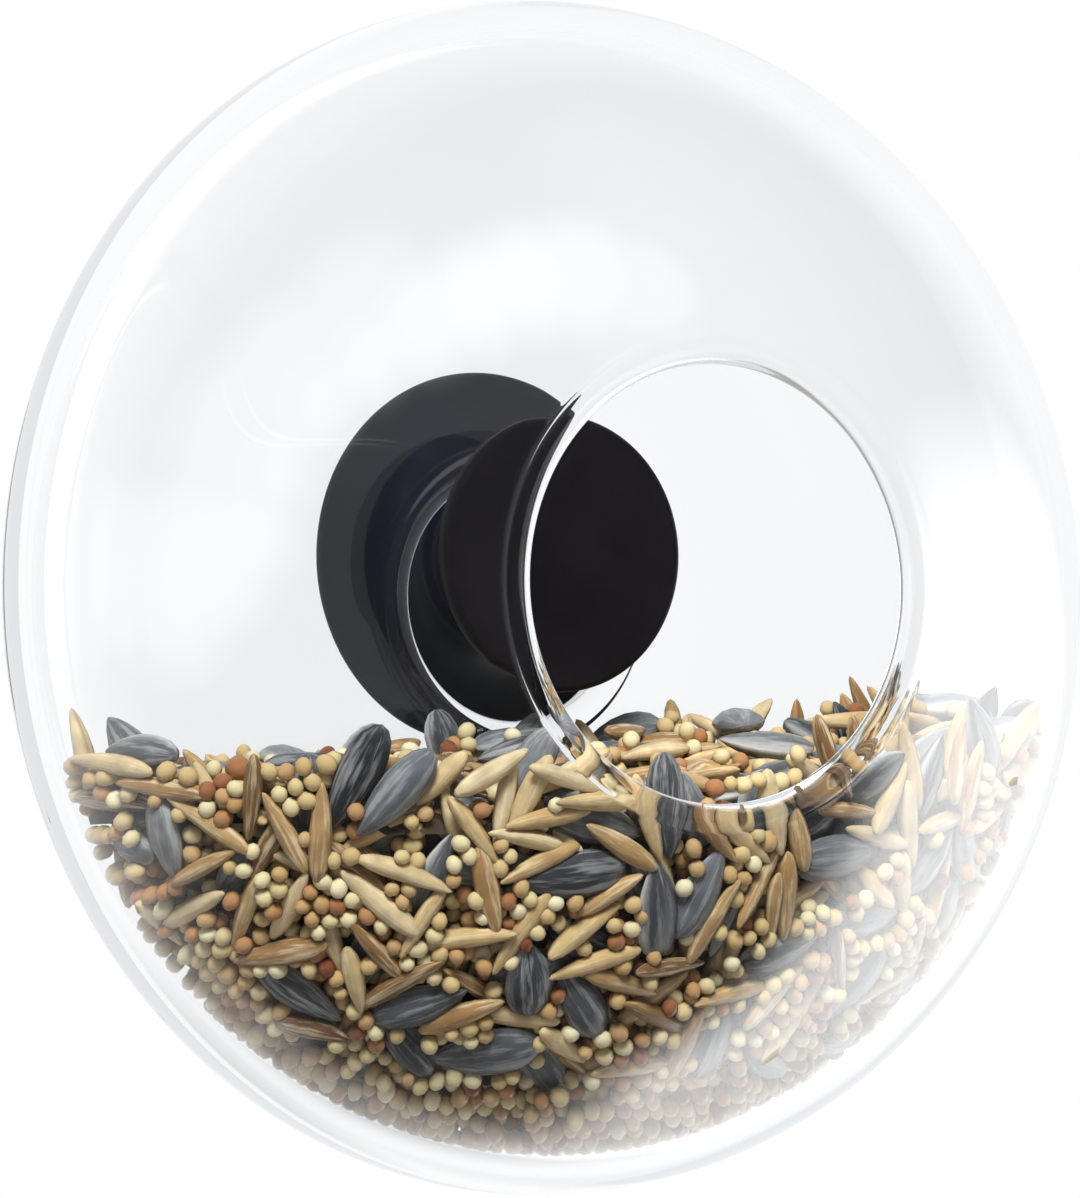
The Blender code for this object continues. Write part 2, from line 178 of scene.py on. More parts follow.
def wire(tree, node, inputs):
    """Sets a node's inputs to values, or links them to the outputs of other nodes."""
    for name, value in inputs.items():
        if isinstance(value, bpy.types.NodeSocket):
            tree.links.new(value, node.inputs[name])
        else:
            node.inputs[name].default_value = value
    return node


def add_node(tree, kind, inputs=None):
    """A new node, wired up."""
    return wire(tree, tree.nodes.new(kind), inputs or {})


def arithmetic(tree, operation, first, second):
    """A sum, product or the like of two outputs or numbers."""
    node = tree.nodes.new("ShaderNodeMath")
    node.operation = operation
    return wire(tree, node, {0: first, 1: second}).outputs["Value"]


def cloud(tree, where, scale, detail, roughness=0.5):
    """A cloudy pattern over a place, as fine as its scale is high."""
    return add_node(tree, "ShaderNodeTexNoise", {
        "Vector": where, "Scale": scale, "Detail": detail, "Roughness": roughness}).outputs["Fac"]


def relief(tree, shader, height, strength, depth):
    """Bumps on a shader's surface."""
    bump = add_node(tree, "ShaderNodeBump", {"Height": height, "Strength": strength, "Distance": depth})
    wire(tree, shader, {"Normal": bump.outputs["Normal"]})


outer, bore, _, bore_weight = blown_wall(WALL_MARKS)
front_lip = melted_lip(bore[0], outer[0])
back_lip = melted_lip(outer[-1], bore[-1])
glass = turn_about_y(
    "blown_globe", np.concatenate([outer, back_lip, bore[::-1], front_lip]) - [0.0, WAIST_Y],
    GLASS_STEPS, GLOBE_AXIS_Z,
    [0.0] * (len(outer) + len(back_lip)) + list(bore_weight[::-1]) + [0.0] * len(front_lip))
for vertex, share in zip(glass.data.vertices, glass.data.attributes["bore_share"].data):
    vertex.co.x += BORE_SHIFT[0] * share.value
    vertex.co.z += BORE_SHIFT[1] * share.value
glass.data.shade_smooth()

# Clear glass with the faint swell of blown glass. Rays reflected on and on inside the wall end in a painted
# glow, an even grey emission, and light that falls through the glass on the seed isn't shaded by it.
clear_glass, tree = new_finish("clear_soda_glass")
shader = wire(tree, tree.nodes["Principled BSDF"], {
    "Base Color": (0.975, 0.985, 0.992, 1.0), "Roughness": 0.0, "IOR": 1.5, "Transmission Weight": 1.0})
where = add_node(tree, "ShaderNodeTexCoord").outputs["Object"]
relief(tree, shader, cloud(tree, where, scale=26.0, detail=1.0), strength=0.35, depth=0.6 * MM)
ray = add_node(tree, "ShaderNodeLightPath")
trapped = arithmetic(tree, "GREATER_THAN", ray.outputs["Glossy Depth"], WALL_REFLECTIONS)
# Painted reflection: past WALL_REFLECTIONS reflections in the wall the glass glows an even grey.
painted_wall_glow = add_node(tree, "ShaderNodeEmission", {"Color": (0.74, 0.77, 0.80, 1.0)})
deep_in_wall = add_node(tree, "ShaderNodeMixShader", {
    "Fac": trapped, 1: shader.outputs["BSDF"], 2: painted_wall_glow.outputs["Emission"]})
no_glass = add_node(tree, "ShaderNodeBsdfTransparent", {"Color": (0.94, 0.955, 0.96, 1.0)})
let_light_in = add_node(tree, "ShaderNodeMixShader", {
    "Fac": ray.outputs["Is Shadow Ray"], 1: deep_in_wall.outputs["Shader"], 2: no_glass.outputs["BSDF"]})
wire(tree, tree.nodes["Material Output"], {"Surface": let_light_in.outputs["Shader"]})
glass.data.materials.append(clear_glass)
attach(glass, "globe")
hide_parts("glass_globe")

# The suction cup is moulded in one from soft black rubber: a thin sealing lip, a flank that sweeps up
# like a trumpet, and a neck with a seat that the glass rests on. It is bored for the knob's stem.
CUP_RADIUS = 24.0 * MM
CUP_EDGE = 1.4 * MM
CUP_LAND = 2.6 * MM
CUP_HEIGHT = 7.7 * MM
SUCTION_HOLLOW = 2.8 * MM
NECK_RADIUS = 10.2 * MM
SEAT_RADIUS = 12.0 * MM
NECK_END = 13.6 * MM
NECK_FILLET = 0.5 * MM
SOCKET_RADIUS = 5.3 * MM
SOCKET_FLOOR = 5.0 * MM
RUBBER_STEPS = 128
SHARP_EDGE = math.radians(40)


def sweep(centre, radii, start, end, steps):
    """Points on a piece of an ellipse from one angle to another, both ends included."""
    angles = np.radians(np.linspace(start, end, steps + 1))
    return np.stack([centre[0] + radii[0] * np.cos(angles), centre[1] + radii[1] * np.sin(angles)], axis=1)


def ramp(tree, fac, stops):
    """A colour ramp. The first two stops are its ends, and the others lie between them."""
    node = add_node(tree, "ShaderNodeValToRGB", {"Fac": fac})
    for k, (position, colour) in enumerate(stops):
        stop = node.color_ramp.elements[k] if k < 2 else node.color_ramp.elements.new(position)
        stop.position = position
        stop.color = (*colour, 1.0)
    return node.outputs["Color"]


def remap(tree, value, low, high, value_low, value_high, change="LINEAR"):
    """A change from one value to another while the value read goes from low to high."""
    node = tree.nodes.new("ShaderNodeMapRange")
    node.interpolation_type = change
    return wire(tree, node, {"Value": value, "From Min": low, "From Max": high,
                             "To Min": value_low, "To Max": value_high}).outputs["Result"]


def black_rubber(name, colour, roughness, shine, grain):
    """Moulded rubber: nearly black, with a fine eggshell grain and a faint bloom on its surface."""
    rubber, tree = new_finish(name)
    where = add_node(tree, "ShaderNodeTexCoord").outputs["Object"]
    bloom = cloud(tree, where, scale=90.0, detail=4.0)
    bloomed = [1.6 * part + 0.001 for part in colour]
    shader = wire(tree, tree.nodes["Principled BSDF"], {
        "Base Color": ramp(tree, bloom, [(0.35, colour), (0.75, bloomed)]),
        "Roughness": remap(tree, bloom, 0.0, 1.0, roughness - 0.05, roughness + 0.08),
        "Specular IOR Level": shine})
    relief(tree, shader, cloud(tree, where, scale=grain, detail=2.0), strength=0.12, depth=0.03 * MM)
    return rubber


def moulded(name, outline, rubber):
    """A rubber piece turned about the cup's axis, smooth but for its sharp edges."""
    piece = turn_about_y(name, outline, RUBBER_STEPS, 0.0)
    piece.data.shade_smooth()
    piece.data.set_sharp_from_angle(angle=SHARP_EDGE)
    piece.data.materials.append(rubber)
    return piece


edge = CUP_EDGE / 2
fillet = (NECK_FILLET, NECK_FILLET)
cup = moulded("suction_cup_rubber", [
    *sweep((0.0, 0.0), (CUP_RADIUS - edge - CUP_LAND, SUCTION_HOLLOW), 90, 4, 14),
    (CUP_RADIUS - edge - CUP_LAND, 0.0),
    *sweep((CUP_RADIUS - edge, edge), (edge, edge), -90, 90, 12),
    *sweep((CUP_RADIUS - edge, CUP_HEIGHT),
           (CUP_RADIUS - edge - SEAT_RADIUS, CUP_HEIGHT - CUP_EDGE), 266, 186, 20),
    *sweep((SEAT_RADIUS - NECK_FILLET, CUP_HEIGHT - NECK_FILLET), fillet, 0, 90, 5),
    *sweep((NECK_RADIUS + NECK_FILLET, CUP_HEIGHT + NECK_FILLET), fillet, 270, 180, 5),
    *sweep((NECK_RADIUS - NECK_FILLET, NECK_END - NECK_FILLET), fillet, 0, 90, 5),
    (SOCKET_RADIUS, NECK_END), (SOCKET_RADIUS, SOCKET_FLOOR), (0.0, SOCKET_FLOOR)],
    black_rubber("soft_black_rubber", colour=(0.004, 0.005, 0.009),
                 roughness=0.42, shine=0.2, grain=900.0))
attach(cup, "hanger")
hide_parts("suction_cup")

# The knob is a round button of harder black rubber with a flat face and a flared back. Its stem is
# pushed into the bore of the cup's neck, so it keeps the globe from sliding off.
KNOB_RADIUS = 17.4 * MM
KNOB_ROUND = 0.9 * MM
KNOB_FACE = 23.7 * MM
KNOB_RIM_BACK = 21.3 * MM
KNOB_BASE = 13.9 * MM
KNOB_FLARE = 7.1 * MM
FLARE_INSET = 0.6 * MM
STEM_RADIUS = 5.0 * MM
STEM_TIP = 5.3 * MM
STEM_CHAMFER = 0.8 * MM
FACE_RING_SHARES = (0.3, 0.6, 0.85)
rounding = (KNOB_ROUND, KNOB_ROUND)
flare_radius = KNOB_RADIUS - FLARE_INSET
knob = moulded("knob_button", [
    (0.0, KNOB_FACE),
    *[(share * KNOB_RADIUS, KNOB_FACE) for share in FACE_RING_SHARES],
    *sweep((KNOB_RADIUS - KNOB_ROUND, KNOB_FACE - KNOB_ROUND), rounding, 90, 0, 8),
    *sweep((KNOB_RADIUS - KNOB_ROUND, KNOB_RIM_BACK + KNOB_ROUND), rounding, 0, -52, 6),
    *sweep((flare_radius, KNOB_BASE), (flare_radius - NECK_RADIUS, KNOB_FLARE), 105, 180, 12),
    (STEM_RADIUS, KNOB_BASE), (STEM_RADIUS, STEM_TIP + STEM_CHAMFER),
    (STEM_RADIUS - STEM_CHAMFER, STEM_TIP), (0.0, STEM_TIP)],
    black_rubber("hard_black_rubber", colour=(0.005, 0.004, 0.005),
                 roughness=0.5, shine=0.12, grain=1200.0))
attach(knob, "hanger")
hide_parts("retaining_knob")

# The seed is loose, and the glass holds it: striped sunflower seeds and oats in their husks near the
# top of the heap, and mostly millet at the bottom. All kinds are packed together here, the big seeds
# first and the millet into the gaps that they leave, and each kind is modelled in its own section.
SEED_PATTERN = 11
BORE_MARKS = 130
HEAP_STEP = 1.5 * MM
HEAP_TOP_BAND = 20.0 * MM
SLANT = (0.31, 0.77, 0.55)
SQUEEZE = 0.8
SUNFLOWER_SHARE = 0.5
GROWTH_SPREAD = (0.1, 0.09, 0.08)
GROWTH_LIMITS = (0.7, 1.2)

# A big seed's length, width and thickness, its usual growth in each, and the balls that stand for it
# while it is packed: places along and across it as shares of its size, and shares of its thickness.
GRAINS = {
    "sunflower": {
        "size": np.array([12.2, 6.5, 3.7]) * MM, "growth": (1.0, 0.84, 0.94),
        "balls": np.array([(-0.62, 0.0, 0.92), (-0.25, -0.42, 1.0), (-0.25, 0.42, 1.0),
                           (0.2, -0.28, 0.95), (0.2, 0.28, 0.95), (0.62, 0.0, 0.8)])},
    "oat": {
        "size": np.array([10.4, 2.9, 2.5]) * MM, "growth": (1.06, 0.9, 0.92),
        "balls": np.array([(-0.7, 0.0, 0.7), (-0.36, 0.0, 0.95), (0.0, 0.0, 1.0),
                           (0.36, 0.0, 0.95), (0.7, 0.0, 0.65)])}}

draw = np.random.default_rng(SEED_PATTERN)
_, bore_line, bore_inward, bore_shift_share = blown_wall(BORE_MARKS)


def gap_to_glass(points):
    """How far points are inside the bore, and the way from the nearest glass into the globe."""
    depth = WAIST_Y - points[:, 1]
    across = points[:, [0, 2]] - [0.0, GLOBE_AXIS_Z]
    shift = np.zeros_like(across)
    for _ in range(2):
        offset = across - shift
        radius = np.linalg.norm(offset, axis=1)
        flat = np.stack([radius, depth], axis=1)
        near = np.argmin(((flat[:, None, :] - bore_line[None, :, :]) ** 2).sum(axis=2), axis=1)
        shift = bore_shift_share[near][:, None] * BORE_SHIFT
    inward = bore_inward[near]
    gap = ((flat - bore_line[near]) * inward).sum(axis=1)
    around = offset / np.maximum(radius, 1e-9)[:, None]
    way = np.stack([around[:, 0] * inward[:, 0], -inward[:, 1], around[:, 1] * inward[:, 0]], axis=1)
    return gap, way


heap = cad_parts["seed_bed"]
heap_tree = BVHTree.FromPolygons([v.co.copy() for v in heap.data.vertices],
                                 [tuple(p.vertices) for p in heap.data.polygons])
heap_low, heap_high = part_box("seed_bed")
heap_x = np.arange(heap_low.x, heap_high.x, HEAP_STEP)
heap_y = np.arange(heap_low.y, heap_high.y, HEAP_STEP)
heap_top = np.full((len(heap_x), len(heap_y)), np.nan)
for i, x in enumerate(heap_x):
    for j, y in enumerate(heap_y):
        hit = heap_tree.ray_cast(Vector((x, y, 0.0)), Vector((0.0, 0.0, -1.0)))[0]
        if hit is not None and hit.z > heap_high.z - HEAP_TOP_BAND:
            heap_top[i, j] = hit.z
for row in heap_top:
    if not np.isnan(row).all():
        row[np.isnan(row)] = np.nanmean(row)
heap_top[np.isnan(heap_top)] = np.nanmean(heap_top)
heap_bottom = GLOBE_AXIS_Z - GLOBE_RADIUS


def height_of_heap(points):
    """Height of the heap's top over or under points."""
    i = np.clip(((points[:, 0] - heap_low.x) / HEAP_STEP).astype(int), 0, len(heap_x) - 1)
    j = np.clip(((points[:, 1] - heap_low.y) / HEAP_STEP).astype(int), 0, len(heap_y) - 1)
    return heap_top[i, j]


def depth_share(points):
    """How deep points lie in the heap: 0 at its top and 1 at the bottom of the globe."""
    top = height_of_heap(points)
    return (top - points[:, 2]) / (top - heap_bottom)


def lie(flat_way, turn, tip, roll):
    """Axes of a grain whose flat side faces a way: its length, its width and its thickness."""
    flat_way = flat_way / np.linalg.norm(flat_way)
    side = np.cross(flat_way, SLANT)
    side /= np.linalg.norm(side)
    other = np.cross(flat_way, side)
    length = math.cos(turn) * side + math.sin(turn) * other
    width = np.cross(flat_way, length)
    length = math.cos(tip) * length + math.sin(tip) * flat_way
    flat = np.cross(length, width)
    turned_width = math.cos(roll) * width + math.sin(roll) * flat
    return np.stack([length, turned_width, np.cross(length, turned_width)], axis=1)


class Heap:
    """The big seeds laid so far: the balls that stand for them, and their places, axes and sizes."""

    def __init__(self):
        self.balls = np.zeros((0, 4))
        self.laid = {kind: [] for kind in GRAINS}

    def lay(self, kind, place, axes, growth):
        """Lays a seed where it is clear of the glass and of the others, or leaves it out."""
        size = GRAINS[kind]["size"] * growth
        spots = GRAINS[kind]["balls"]
        middles = place + (axes[:, 0] * spots[:, :1] * size[0] + axes[:, 1] * spots[:, 1:2] * size[1]) / 2
        radii = spots[:, 2] * size[2] / 2
        if np.any(gap_to_glass(middles)[0] < radii):
            return
        if len(self.balls):
            apart = np.linalg.norm(middles[:, None, :] - self.balls[None, :, :3], axis=2)
            if np.any(apart < SQUEEZE * (radii[:, None] + self.balls[None, :, 3])):
                return
        self.balls = np.concatenate([self.balls, np.column_stack([middles, radii])])
        self.laid[kind].append((place, axes, size))


def next_seed():
    """The kind of the next big seed, and its growth in length, width and thickness."""
    kind = "sunflower" if draw.random() < SUNFLOWER_SHARE else "oat"
    return kind, draw.normal(GRAINS[kind]["growth"], GROWTH_SPREAD).clip(*GROWTH_LIMITS)


# The big seeds of the frame keep their places.
fill = Heap()
for name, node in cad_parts.items():
    kind = name.split("_")[0]
    if kind in GRAINS:
        spots = np.array([v.co for v in node.data.vertices])
        middle = spots.mean(axis=0)
        _, _, axes = np.linalg.svd(spots - middle, full_matrices=False)
        axes = axes.T
        axes[:, 2] = np.cross(axes[:, 0], axes[:, 1])
        fill.lay(kind, middle, axes, 1.0)

# More lie flat against the glass, in layers of a depth and a number of tries, fewer the deeper in the
# heap and fewer at the left.
WALL_LAYERS = ((0.5 * MM, 9000), (3.0 * MM, 6000), (5.5 * MM, 2500))
WALL_TURN = 1.6
WALL_CLEARANCE = 0.3 * MM
FLAT_TIP, FLAT_ROLL = 0.12, 0.3
OVER_THE_TOP = -0.02
SEEDS_AT_TOP = 1.3
SEEDS_LOST_WITH_DEPTH = 1.75
SEEDS_LOST_AT_LEFT = 0.4
SEED_LEFT_SIDE = -45 * MM
wall_reach = np.linalg.norm(np.gradient(bore_line, axis=0), axis=1) * bore_line[:, 0]
wall_reach /= wall_reach.sum()
for layer_depth, tries in WALL_LAYERS:
    for _ in range(tries):
        mark = draw.choice(len(bore_line), p=wall_reach)
        turn = draw.uniform(-WALL_TURN, WALL_TURN)
        radius, depth = bore_line[mark]
        place = np.array([radius * math.sin(turn), WAIST_Y - depth, GLOBE_AXIS_Z - radius * math.cos(turn)])
        level = depth_share(place[None])[0]
        at_left = place[0] < SEED_LEFT_SIDE
        if level < OVER_THE_TOP or draw.random() > (
                SEEDS_AT_TOP - SEEDS_LOST_WITH_DEPTH * level - SEEDS_LOST_AT_LEFT * at_left):
            continue
        kind, growth = next_seed()
        way = gap_to_glass(place[None])[1][0]
        half_thick = GRAINS[kind]["size"][2] * growth[2] / 2
        place = place + way * (half_thick + WALL_CLEARANCE + draw.random() * layer_depth)
        axes = lie(way, draw.uniform(0, math.tau), draw.normal(0.0, FLAT_TIP), draw.normal(0.0, FLAT_ROLL))
        fill.lay(kind, place, axes, growth)

# The last ones lie loosely on the top of the heap, a little over or in it.
TOP_TRIES = 5000
TOP_HALF_WIDTH = 68
TOP_BEHIND_WAIST, TOP_BEFORE_WAIST = -10, 40
TOP_LOWEST, TOP_HIGHEST = -3.0, 1.0
LOOSE_TIP, LOOSE_ROLL = 0.22, 0.35
for _ in range(TOP_TRIES):
    place = np.array([draw.uniform(-TOP_HALF_WIDTH, TOP_HALF_WIDTH) * MM,
                      WAIST_Y - draw.uniform(TOP_BEHIND_WAIST, TOP_BEFORE_WAIST) * MM, 0.0])
    place[2] = height_of_heap(place[None])[0] + draw.uniform(TOP_LOWEST, TOP_HIGHEST) * MM
    kind, growth = next_seed()
    axes = lie(np.array([0.0, 0.0, 1.0]), draw.uniform(0, math.tau),
               draw.normal(0.0, LOOSE_TIP), draw.normal(0.0, LOOSE_ROLL))
    fill.lay(kind, place, axes, growth)

# The millet starts as close layers of balls, kept where they can be seen: in a shell against the glass
# and the heap's top. Some grains are of a bigger, red-brown kind.
MILLET_RADIUS = 1.12 * MM
MILLET_SPACING = 2.16 * MM
LAYER_APART, ROW_APART, LAYER_OFFSET = 0.816, 0.866, 0.289
MILLET_JITTER = 0.22
SHELL_DEPTH = 6.2 * MM
SHELL_UNDER_TOP = 1.0 * MM
MILLET_INSIDE_GLASS = 0.6 * MM
MILLET_OVER_TOP = 0.6 * MM
MILLET_SPREAD = 0.07
MILLET_LIMITS = (0.82, 1.15)
RED_SHARE = 0.015
RED_GROWTH = 1.55
rows = []
for k, z in enumerate(np.arange(heap_bottom, heap_high.z + 2 * MM, MILLET_SPACING * LAYER_APART)):
    for j, y in enumerate(np.arange(heap_low.y, heap_high.y, MILLET_SPACING * ROW_APART)):
        x = np.arange(heap_low.x + MILLET_SPACING * 0.5 * ((j + k) % 2), heap_high.x, MILLET_SPACING)
        y_here = np.full_like(x, y + (k % 2) * MILLET_SPACING * LAYER_OFFSET)
        rows.append(np.stack([x, y_here, np.full_like(x, z)], axis=1))
millet = np.concatenate(rows)
millet += draw.normal(0.0, MILLET_JITTER, millet.shape) * MM
gap = gap_to_glass(millet)[0]
below = height_of_heap(millet) - millet[:, 2]
in_shell = np.minimum(gap, below + SHELL_UNDER_TOP) < SHELL_DEPTH
millet = millet[in_shell & (gap > MILLET_INSIDE_GLASS) & (below > -MILLET_OVER_TOP)]
millet_radii = MILLET_RADIUS * draw.normal(1.0, MILLET_SPREAD, len(millet)).clip(*MILLET_LIMITS)
millet_radii[draw.random(len(millet)) < RED_SHARE] *= RED_GROWTH

# Then the balls push each other apart, settle on the glass, and those that stay crushed are taken out.
# The limit on the overlap gets lower after each of the rounds that are named here.
CRUSH_LIMITS = {3: 1.1 * MM, 7: 0.75 * MM, 11: 0.5 * MM}
PACKING_ROUNDS = 12
NEAR_MILLET = 2.8 * MILLET_RADIUS
LARGEST_MILLET = 1.7 * MILLET_RADIUS
MILLET_PUSH = 0.45
SEED_PUSH = 0.8
MILLET_GIVE = 0.95
SEED_CRUSH = 1.2
MILLET_CLEARANCE = 0.12 * MM
SETTLE_STEP = 0.3 * MM
SETTLE_REACH = 3.0 * MM
SETTLE_SHARE = 0.5


def lookup(places):
    """A tree to look up which places are near a spot."""
    tree = KDTree(len(places))
    for k, place in enumerate(places):
        tree.insert(place, k)
    tree.balance()
    return tree


def push_away(place, other, apart, overlap, share):
    """A step away from a neighbour by a share of the overlap with it."""
    return (place - np.array(other)) / max(apart, 1e-7) * overlap * share


big = lookup(fill.balls[:, :3])
near_seed = fill.balls[:, 3].max() + LARGEST_MILLET
for turn in range(PACKING_ROUNDS):
    small = lookup(millet)
    push = np.zeros_like(millet)
    crush = np.zeros(len(millet))
    for k, place in enumerate(millet):
        for other, n, apart in small.find_range(place, NEAR_MILLET):
            overlap = millet_radii[k] + millet_radii[n] - apart
            if n != k and overlap > 0.0:
                push[k] += push_away(place, other, apart, overlap, MILLET_PUSH)
                crush[k] = max(crush[k], overlap)
        for other, n, apart in big.find_range(place, near_seed):
            overlap = millet_radii[k] * MILLET_GIVE + fill.balls[n, 3] - apart
            if overlap > 0.0:
                push[k] += push_away(place, other, apart, overlap, SEED_PUSH)
                crush[k] = max(crush[k], SEED_CRUSH * overlap)
    millet += push
    gap, way = gap_to_glass(millet)
    short = np.maximum(millet_radii + MILLET_CLEARANCE - gap, 0.0)
    millet += way * short[:, None]
    settle = np.clip(gap - millet_radii, 0.0, SETTLE_STEP) * (gap < SETTLE_REACH) * SETTLE_SHARE
    millet -= way * settle[:, None]
    if turn in CRUSH_LIMITS:
        keep = crush < CRUSH_LIMITS[turn]
        millet, millet_radii = millet[keep], millet_radii[keep]

# Millet trickles down: little stays at the top, more lies deeper, in patches and at the left.
MILLET_AT_TOP = 0.22
MILLET_MORE_WITH_DEPTH = 2.4
MILLET_PATCHES = 0.6
MILLET_MORE_AT_LEFT = 0.7
MILLET_LEFT_SIDE = -42 * MM
PATCH_WAVES = (190, 160, 230)
patch = np.sin(millet[:, 0] * PATCH_WAVES[0] + 1.0) * np.sin(
    millet[:, 2] * PATCH_WAVES[2] + millet[:, 1] * PATCH_WAVES[1])
keep = draw.random(len(millet)) < (
    MILLET_AT_TOP + MILLET_MORE_WITH_DEPTH * depth_share(millet) + MILLET_PATCHES * patch
    + MILLET_MORE_AT_LEFT * (millet[:, 0] < MILLET_LEFT_SIDE))
millet, millet_radii = millet[keep], millet_radii[keep]

# Sunflower seeds in the hull are flat drops with a sharp tip. The dry hull is dark grey with pale
# lengthwise stripes and, on some seeds, a pale rim. They are loose and lie where they were packed.
SUNFLOWER_TIP = 0.28
SUNFLOWER_FLATNESS = 1.35
SUNFLOWER_BOW = 0.07
SUNFLOWER_RIM = 4
TIP_FROM = 0.97
TIP_RIM = 0.5
HUSK_DRIFT = 57.0
LINE_LENGTH = 2.2
FIRST_COLOUR, SECOND_COLOUR, MIXED_COLOUR = 6, 7, 2


def new_grain(name, sides, rings):
    """A ball to shape a grain from, with its poles at the two tips, which lie along X."""
    bpy.ops.object.select_all(action="DESELECT")
    bpy.ops.mesh.primitive_uv_sphere_add(segments=sides, ring_count=rings, radius=0.5)
    grain = bpy.context.object
    grain.name = grain.data.name = name
    bpy.ops.object.mode_set(mode="EDIT")
    bpy.ops.mesh.select_all(action="SELECT")
    bpy.ops.transform.rotate(value=math.pi / 2, orient_axis="Y", center_override=(0.0, 0.0, 0.0))
    bpy.ops.object.mode_set(mode="OBJECT")
    return grain


def pour(name, grain, axes, places, shades, material):
    """A piece of many copies of one grain, each with its own axes, place and shade."""
    spots = np.array([v.co for v in grain.data.vertices])
    corners = np.einsum("nij,vj->nvi", axes, spots) + places[:, None, :]
    loops = np.array([v for p in grain.data.polygons for v in p.vertices])
    starts = np.array([p.loop_start for p in grain.data.polygons])
    uv = np.zeros(len(grain.data.loops) * 2)
    grain.data.uv_layers[0].data.foreach_get("uv", uv)
    rim = np.zeros(len(spots))
    if "rim" in grain.data.attributes:
        grain.data.attributes["rim"].data.foreach_get("value", rim)
    count = len(places)
    copies = np.arange(count)[:, None]
    mesh = bpy.data.meshes.new(name)
    mesh.vertices.add(count * len(spots))
    mesh.vertices.foreach_set("co", corners.ravel())
    mesh.loops.add(count * len(loops))
    mesh.loops.foreach_set("vertex_index", (loops[None] + copies * len(spots)).ravel())
    mesh.polygons.add(count * len(starts))
    mesh.polygons.foreach_set("loop_start", (starts[None] + copies * len(loops)).ravel())
    mesh.uv_layers.new(name="grain_skin").data.foreach_set("uv", np.tile(uv, count))
    mesh.attributes.new("shade", "FLOAT", "POINT").data.foreach_set("value", np.repeat(shades, len(spots)))
    mesh.attributes.new("rim", "FLOAT", "POINT").data.foreach_set("value", np.tile(rim, count))
    mesh.update(calc_edges=True)
    mesh.validate()
    mesh.shade_smooth()
    mesh.materials.append(material)
    piece = bpy.data.objects.new(name, mesh)
    bpy.context.scene.collection.objects.link(piece)
    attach(piece, "globe")
    return piece


def pour_laid(name, kind, grain, material):
    """A piece of all big seeds of a kind, where they were laid."""
    laid = fill.laid[kind]
    return pour(name, grain, np.array([axes * size for _, axes, size in laid]),
                np.array([place for place, _, _ in laid]), draw.random(len(laid)), material)


def attribute(tree, name):
    """A number that each grain carries."""
    node = tree.nodes.new("ShaderNodeAttribute")
    node.attribute_name = name
    return node.outputs["Fac"]


def mixed(tree, share, first, second):
    """Two colours mixed by a share."""
    node = tree.nodes.new("ShaderNodeMix")
    node.data_type = "RGBA"
    for socket, colour in ((FIRST_COLOUR, first), (SECOND_COLOUR, second)):
        wire(tree, node, {socket: (*colour, 1.0) if isinstance(colour, tuple) else colour})
    return wire(tree, node, {"Factor": share}).outputs[MIXED_COLOUR]


def dry_husk(name, stops, around, line, line_share, rim, rim_reach, roughness):
    """A dry husk: its own shade, lengthwise lines, and a pale rim, or a crease in painted shade, that not
    every grain shows.
    """
    husk, tree = new_finish(name)
    shade = attribute(tree, "shade")
    own = arithmetic(tree, "MULTIPLY", shade, HUSK_DRIFT)
    drift = add_node(tree, "ShaderNodeCombineXYZ", {"Z": own})
    skin_at = tree.nodes.new("ShaderNodeUVMap")
    skin_at.uv_map = "grain_skin"
    moved = tree.nodes.new("ShaderNodeVectorMath")
    moved.operation = "MULTIPLY_ADD"
    wire(tree, moved, {0: skin_at.outputs["UV"], 1: (around, LINE_LENGTH, 1.0), 2: drift.outputs["Vector"]})
    lines = cloud(tree, moved.outputs["Vector"], scale=1.0, detail=3.0, roughness=0.65)
    where = add_node(tree, "ShaderNodeTexCoord").outputs["Object"]
    blotch = cloud(tree, where, scale=420.0, detail=3.0)
    luck = tree.nodes.new("ShaderNodeTexWhiteNoise")
    luck.noise_dimensions = "1D"
    wire(tree, luck, {"W": own})
    shows = arithmetic(tree, "MULTIPLY", attribute(tree, "rim"), luck.outputs["Value"])
    colour = ramp(tree, shade, stops)
    colour = mixed(tree, remap(tree, lines, 0.48, 0.62, 0.0, line_share), colour, line)
    colour = mixed(tree, remap(tree, blotch, 0.35, 0.70, 0.0, 0.35), colour, stops[0][1])
    colour = mixed(tree, remap(tree, shows, rim_reach, 0.85, 0.0, 1.0), colour, rim)
    shader = wire(tree, tree.nodes["Principled BSDF"], {"Base Color": colour, "Roughness": roughness})
    relief(tree, shader, arithmetic(tree, "ADD", lines, blotch), strength=0.7, depth=0.16 * MM)
    return husk


seed = new_grain("sunflower_seed", 12, 9)
seed_rim = seed.data.attributes.new("rim", "FLOAT", "POINT").data
for vertex in seed.data.vertices:
    along = 2 * vertex.co.x
    angle = math.atan2(vertex.co.z, vertex.co.y)
    radius = 0.5 * math.sqrt(max(1 - along * along, 0.0)) * max(1 - along, 0.0) ** SUNFLOWER_TIP
    flattened = math.copysign(abs(math.sin(angle)) ** SUNFLOWER_FLATNESS, math.sin(angle))
    vertex.co.y = radius * math.cos(angle)
    vertex.co.z = radius * flattened + SUNFLOWER_BOW * along * along
    seed_rim[vertex.index].value = (
        abs(math.cos(angle)) ** SUNFLOWER_RIM if abs(along) < TIP_FROM else TIP_RIM)
husk = dry_husk(
    "striped_sunflower_husk",
    [(0.0, (0.016, 0.016, 0.018)), (1.0, (0.20, 0.20, 0.205)),
     (0.25, (0.055, 0.057, 0.064)), (0.7, (0.125, 0.128, 0.138))],
    around=17.0, line=(0.42, 0.42, 0.40), line_share=0.55,
    rim=(0.52, 0.51, 0.48), rim_reach=0.22, roughness=0.42)
sunflower_piece = pour_laid("sunflower_seeds", "sunflower", seed, husk)
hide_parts(*[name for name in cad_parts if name.startswith("sunflower_seed")])
